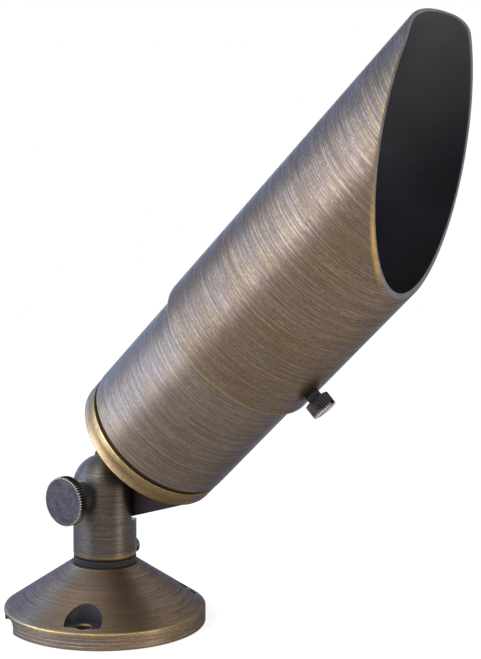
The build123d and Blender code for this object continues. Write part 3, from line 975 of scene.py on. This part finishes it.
def thumb_screw():
    """The tilt clamp's knurled thumbscrew with its collar and shank."""
    face, tip, _, radius = measure("thumb_screw", thumb_place)
    back = face + thumb_head_thickness
    collar_end = measure("thumb_washer", thumb_place)[0] - turning_clearance
    rim = knurl_profile(radius, face, back, knurl_edge_round)
    shank = [
        (thumb_collar_radius + thumb_collar_cove, back, 0),
        (thumb_collar_radius, back + thumb_collar_cove, 0),
        (thumb_collar_radius, collar_end - thumb_collar_chamfer, 0),
        (thumb_collar_radius - thumb_collar_chamfer, collar_end, 0),
        (thumb_shank_radius, collar_end, 0),
        (thumb_shank_radius, tip, 0),
        (0, tip, 0),
    ]
    piece = knurled_screw("thumb_knob", rim, shank, thumb_teeth, thumb_tooth_depth, thumb_place)

    def finish_of(centre):
        """A grey head and a rubber-black collar."""
        return 1 if centre.z > back + neck_margin else 0

    dress(piece, [gunmetal, rubber], finish_of)
    settle(piece, "thumb", "gunmetal", "thumb_screw")


def shroud_lock_screw():
    """The shroud's knurled lock screw with a slot across its outer face."""
    tip, face, _, radius = measure("shroud_lock_screw", lock_place)
    back = face - lock_head_length
    shroud_outer = measure("shroud", shroud_place)[3]
    neck_start = shroud_outer + turning_clearance
    rim = knurl_profile(radius, face, back, lock_edge_round)
    shank = [
        (lock_neck_radius, back, 0),
        (lock_neck_radius, neck_start, 0),
        (lock_thread_radius, neck_start, 0),
        (lock_thread_radius, tip, 0),
        (0, tip, 0),
    ]
    piece = knurled_screw("shroud_knob", rim, shank, lock_teeth, lock_tooth_depth, lock_place)
    cut_slot(piece, 2 * radius, face, lock_slot_width, lock_slot_depth, lock_place)

    def finish_of(centre):
        """Dark teeth, a rubber-black neck and a pale outer face with a dark slot."""
        if centre.z < back - neck_margin:
            return 1
        return 2 if centre.z > face - face_margin else 0

    dress(piece, [dark_steel, rubber, screw_face], finish_of)
    settle(piece, "shroud_lock", "gunmetal", "shroud_lock_screw")


def stem_lock_screw():
    """The small slotted pan-head screw at the back of the stem's foot."""
    tip, top, _, radius = measure("stem_lock_screw", stem_lock_place)
    seat = stem_lock_foot.xy.length + small_seat_gap
    corners = [
        plain(0, tip),
        plain(small_thread_radius, tip),
        plain(small_thread_radius, seat),
        rounded(radius, seat, small_edge_round),
        rounded(radius, top, small_top_round, small_top_wear),
        plain(0, top),
    ]
    piece = lathe("stem_lock_knob", outline(corners), stem_lock_place, fine_segments)
    cut_slot(piece, 2 * radius, top, small_slot_width, small_slot_depth, stem_lock_place)
    dress(piece, [gunmetal])
    settle(piece, "stem_lock", "gunmetal", "stem_lock_screw")


def soft_ring(node, place, name, body, bend, finish):
    """A gasket or sealing ring with rounded edges."""
    low, high, inner, outer = measure(node, place)
    section = [(inner, low), (outer, low), (outer, high), (inner, high)]
    corners = [rounded(radius, height, bend) for radius, height in section]
    piece = lathe(name, outline(corners), place)
    dress(piece, [finish])
    settle(piece, body, "rubber", node)


def rear_cap():
    """The head's rear ring with its half cone, tangent to the knuckle's ball."""
    spigot_end = measure("rear_cap", head_place)[1]
    spigot_radius = measure("body_tube", head_place)[2] - cap_spigot_clearance
    corners = [
        plain(0, ring_rear),
        rounded(ring_radius, ring_rear, ring_edge_round, ring_rear_wear_and_highlight),
        rounded(ring_radius, cap_face, ring_front_round, ring_front_wear),
        plain(spigot_radius, cap_face),
        plain(spigot_radius, spigot_end),
        plain(spigot_radius - cap_spigot_wall, spigot_end),
        plain(spigot_radius - cap_spigot_wall, cap_face),
        plain(0, cap_face),
    ]
    # Its wear gathers on the ring's lit side, partly a painted highlight.
    ring = lathe("rear_ring", outline(corners), head_place, wear_and_highlight_side=ring_wear_and_highlight_side)
    dress(ring, [satin_gold])
    settle(ring, "head", "bronze", "rear_cap")

    start = -ball_radius * math.sin(cone_lean)
    tail = -math.sqrt(ball_radius ** 2 - ear_offset ** 2)
    rows = []
    ball_steps = 24
    for step in range(ball_steps + 1):
        station = tail + (start - tail) * math.sin(math.pi / 2 * step / ball_steps)
        rows.append((math.sqrt(max(ball_radius ** 2 - station ** 2, ear_offset ** 2)), station))
    cone_steps = 8
    for step in range(1, cone_steps + 1):
        share = step / cone_steps
        radius = rows[ball_steps][0] * (1 - share) + ring_radius * share
        rows.append((radius, start + (cone_end - start) * share))
    columns = []
    across_steps = 64
    for step in range(across_steps + 1):
        column = []
        for radius, station in rows:
            first = math.asin(min(1, ear_offset / radius))
            angle = first + (math.pi - 2 * first) * step / across_steps
            column.append((radius * math.cos(angle), radius * math.sin(angle), station, 0.0))
        columns.append(column)
    cone = skin("knuckle_ear", columns, head_place, close_rows=False)
    wire_way = head_place @ Matrix.Translation(cap_wire_place)
    carve(cone, rod("wire_way", wire_bore_radius, -ring_rear, ring_rear, wire_way, bore_segments))
    soften(cone, cut_soften)
    # The cone's dark bronze is partly painted shade under the head.
    dress(cone, [dark_bronze])
    settle(cone, "head", "dark_bronze", "rear_cap")


def body_tube():
    """The straight tube that holds the lamp, stepped inside its front for the glass."""
    rear, front, bore, outer = measure("body_tube", head_place)
    lens_seat, _, _, lens_radius = measure("lens_gasket", head_place)
    lens_bore = lens_radius + lens_clearance
    corners = [
        plain(bore, rear),
        rounded(outer, rear, body_edge_round, body_rear_wear),
        rounded(outer, front, body_edge_round, body_front_wear),
        rounded(lens_bore, front, lens_edge_round),
        plain(lens_bore, lens_seat),
        plain(bore, lens_seat),
    ]
    piece = lathe("head_tube", outline(corners), head_place)

    def finish_of(centre):
        """Bronze outside and black inside."""
        return 1 if math.hypot(centre.x, centre.y) < outer - body_skin else 0

    dress(piece, [body_bronze, black_coat], finish_of)
    settle(piece, "head", "bronze", "body_tube")


def mouth_height(side, rear, end):
    """Station of the shroud's slanted mouth at a distance towards the lock screw's side."""
    middle = rear + mouth_from_rear
    lean = math.hypot(1, mouth_slope)
    centre_height = end - mouth_corner_radius
    centre_side = (middle - centre_height - mouth_corner_radius * lean) / mouth_slope
    if side <= centre_side:
        return end
    if side <= centre_side + mouth_corner_radius * mouth_slope / lean:
        return centre_height + math.sqrt(mouth_corner_radius ** 2 - (side - centre_side) ** 2)
    return middle - mouth_slope * side


def eased_edge(first, corner, last, wear):
    """Points of a small rounded edge between two points and their corner, as (radius, height, wear)."""
    points = []
    for step in range(edge_steps + 1):
        share = step / edge_steps
        weights = ((1 - share) ** 2, 2 * share * (1 - share), share ** 2)
        radius = sum(weight * point[0] for weight, point in zip(weights, (first, corner, last)))
        height = sum(weight * point[1] for weight, point in zip(weights, (first, corner, last)))
        points.append((radius, height, wear))
    return points


def shroud():
    """The glare shroud: a thin tube with a slant-cut mouth, black inside."""
    rear, end, bore, outer = measure("shroud", shroud_place)
    foot = outline([
        plain(bore, rear + shroud_foot_height),
        rounded(bore, rear, shroud_bore_round),
        rounded(outer, rear, shroud_edge_round, shroud_rear_wear),
        plain(outer, rear + shroud_foot_height),
    ])
    ease = mouth_edge_round

    def lip(radius, across):
        return radius, mouth_height(radius * across, rear, end)

    columns = []
    for segment in range(shroud_segments):
        angle = 2 * math.pi * segment / shroud_segments
        x, y = math.cos(angle), math.sin(angle)
        outer_lip, inner_lip = lip(outer, x), lip(bore, x)
        lip_wear = mouth_least_wear + mouth_wear * facing(angle, mouth_worn_side)
        profile = list(foot)
        profile.append((outer, outer_lip[1] - mouth_wear_width - ease, 0.0))
        profile += eased_edge((outer, outer_lip[1] - ease), outer_lip, lip(outer - ease, x), lip_wear)
        profile += eased_edge(lip(bore + ease, x), inner_lip, (bore, inner_lip[1] - ease), inner_lip_wear)
        profile.append((bore, inner_lip[1] - mouth_wear_width, 0.0))
        columns.append([(radius * x, radius * y, height, wear) for radius, height, wear in profile])
    piece = skin("shroud_shell", columns, shroud_place)
    lock_top = measure("shroud_lock_screw", lock_place)[1]
    hole_radius = lock_thread_radius + lock_hole_clearance
    carve(piece, rod("hole", hole_radius, 0, lock_top, lock_place, bore_segments))

    def finish_of(centre):
        """Bronze outside, black inside and blued grey on the cut face."""
        radius = math.hypot(centre.x, centre.y)
        if radius < bore + coat_margin:
            return 1
        return 2 if radius < outer - ease and centre.z > rear + mouth_face_start else 0

    dress(piece, [bronze, shroud_coat, cut_edge], finish_of)
    settle(piece, "shroud", "bronze", "shroud")


def paint_node(node, material):
    """Gives a CAD node that keeps its shape a finish of its own."""
    mesh = frame["nodes"][node].data
    mesh.materials.clear()
    mesh.materials.append(material)


mounting_base()
stem()
thumb_screw()
shroud_lock_screw()
stem_lock_screw()
# The neck ring's dark finish is partly painted shade in the gap.
soft_ring("neck_gasket", base_place, "neck_ring", "base", neck_ring_round, seal_brown_and_gap_shade)
soft_ring("rear_gasket", head_place, "rear_seal", "head", rear_seal_round, rubber)
rear_cap()
body_tube()
shroud()

node_finishes = {
    rubber: ["wire_grommet", "lens_gasket", "shroud_oring", "knuckle_washer", "thumb_washer"],
    steel: ["stem_locknut", "socket_bracket", "bracket_screws", "socket_screws", "lamp_pins"],
    ceramic: ["lamp_socket"],
    reflector_metal: ["lamp_body"],
    board_white: ["led_board"],
    phosphor: ["led_emitters"],
    cover_glass: ["lamp_face"],
    lens_glass: ["front_lens"],
    black_coat: ["lens_retainer"],
}
for finish, node_names in node_finishes.items():
    for node_name in node_names:
        paint_node(node_name, finish)


# Stage, light and camera


def floor():
    """A pale disc with the object's shadow, painted shadow under the base and painted shade in reflections,
    fading to white.
    """
    bm = bmesh.new()
    bmesh.ops.create_circle(bm, cap_ends=True, radius=floor_radius, segments=fine_segments)
    bmesh.ops.translate(bm, vec=(0, 0, -floor_drop), verts=bm.verts)
    disc = link_mesh("floor", bm, base_place)
    tree = Tree(bpy.data.materials.new("floor_white"))
    reach = tree.node("VectorMath", {0: tree.coordinates()}, "Value", operation="LENGTH")
    diffuse = tree.node("BsdfDiffuse", {"Color": (floor_grey, floor_grey, floor_grey, 1.0)})
    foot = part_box("mounting_base")[1][0]
    # The glow drops to nearly none under the base's edge: a painted shadow.
    dark_end, pale_start = (foot - inset for inset in painted_shadow_band)
    level = tree.ramp(reach, dark_end, pale_start, painted_shadow_glow, floor_glow)
    # Glossy rays see the floor darker near the base: painted shade in what metal mirrors.
    shade = tree.ramp(reach, foot, mirror_reach * foot, mirror_painted_shade, 0.0)
    shade = tree.math("MULTIPLY", shade, tree.add("LightPath").outputs["Is Glossy Ray"])
    glow = tree.node("Emission", {"Strength": tree.math("SUBTRACT", level, shade)})
    both = tree.node("AddShader", {0: diffuse, 1: glow})
    clear = tree.node("BsdfTransparent", {})
    tree.show(tree.node("MixShader", {0: tree.ramp(reach, *floor_fade), 1: both, 2: clear}))
    disc.data.materials.append(tree.owner)


def surround():
    """A white surround for the camera and for reflections, and a plain ambient light for the rest."""
    tree = Tree(bpy.data.worlds.new("surround"), "OutputWorld")
    path = tree.add("LightPath").outputs
    seen = path["Is Camera Ray"]
    for kind in ("Is Glossy Ray", "Is Transmission Ray"):
        seen = tree.math("MAXIMUM", seen, path[kind])
    white = (1.0, 1.0, 1.0, 1.0)
    ambient = tree.node("Background", {"Color": white, "Strength": ambient_level})
    bright = tree.node("Background", {"Color": white, "Strength": 1.0})
    tree.show(tree.node("MixShader", {0: seen, 1: ambient, 2: bright}))
    bpy.context.scene.world = tree.owner


def softbox(name, way, distance, width, height, radiance, colour):
    """A rectangular lamp that faces the head from a direction."""
    data = bpy.data.lights.new(name, "AREA")
    data.shape = "RECTANGLE"
    data.size = width
    data.size_y = height
    data.energy = radiance * math.pi * width * height
    data.color = colour
    lamp = bpy.data.objects.new(name, data)
    lamp.visible_camera = False
    bpy.context.scene.collection.objects.link(lamp)
    direction = Vector(way).normalized()
    lamp.location = camera_target + direction * distance
    lamp.rotation_mode = "QUATERNION"
    lamp.rotation_quaternion = direction.to_track_quat("Z", "Y")


def camera():
    """A camera at the photograph's viewing angle."""
    data = bpy.data.cameras.new("camera")
    data.sensor_width = sensor_long_side
    data.lens = focal_length_pixels * sensor_long_side / max(image_width, image_height)
    data.clip_start = clip_near
    data.clip_end = clip_far
    eye = bpy.data.objects.new("camera", data)
    bpy.context.scene.collection.objects.link(eye)
    level = math.cos(camera_elevation)
    back = Vector((
        math.sin(camera_azimuth) * level,
        -math.cos(camera_azimuth) * level,
        math.sin(camera_elevation),
    ))
    right = Vector((math.cos(camera_azimuth), math.sin(camera_azimuth), 0))
    upward = back.cross(right)
    x_way = right * math.cos(camera_roll) + upward * math.sin(camera_roll)
    eye.matrix_world = place_at(camera_target + back * camera_distance, back, x_way)
    bpy.context.scene.camera = eye


floor()
surround()
for lamp in lamps:
    softbox(*lamp)
camera()
bpy.context.scene.view_settings.view_transform = "Standard"
